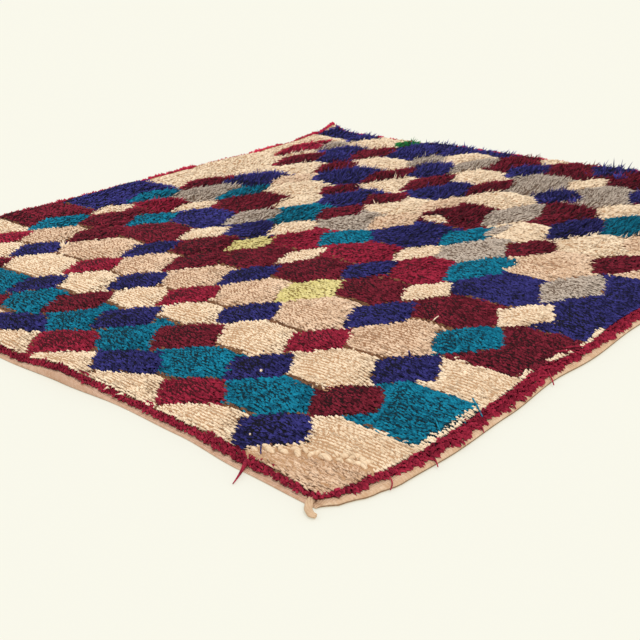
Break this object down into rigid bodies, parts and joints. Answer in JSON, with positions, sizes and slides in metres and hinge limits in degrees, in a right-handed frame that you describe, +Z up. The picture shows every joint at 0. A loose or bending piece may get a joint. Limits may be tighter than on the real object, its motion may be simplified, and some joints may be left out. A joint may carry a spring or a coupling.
{
  "type": "azilal rug",
  "caption": "Flat hand-knotted wool pile rug with a net of coloured lozenges, a crimson border, a woven hem and a small corner tassel.",
  "frame": {"origin": "middle of the underside, on the floor that the rug lies on", "axes": "+Z up through the pile, +X along the weft (the longer side), +Y along the warp, away from the corner tassel"},
  "size_m": [1.7548, 1.633, 0.0334],
  "materials": {
    "rug_wool": "matt hand-spun wool pile in cream, tan, navy, maroon, crimson, teal and grey lozenges",
    "warp_wool": "undyed cream wool warp"
  },
  "bodies": {
    "root": {"rug": "rug_wool", "corner_tassel": "warp_wool"}
  },
  "joints": []
}
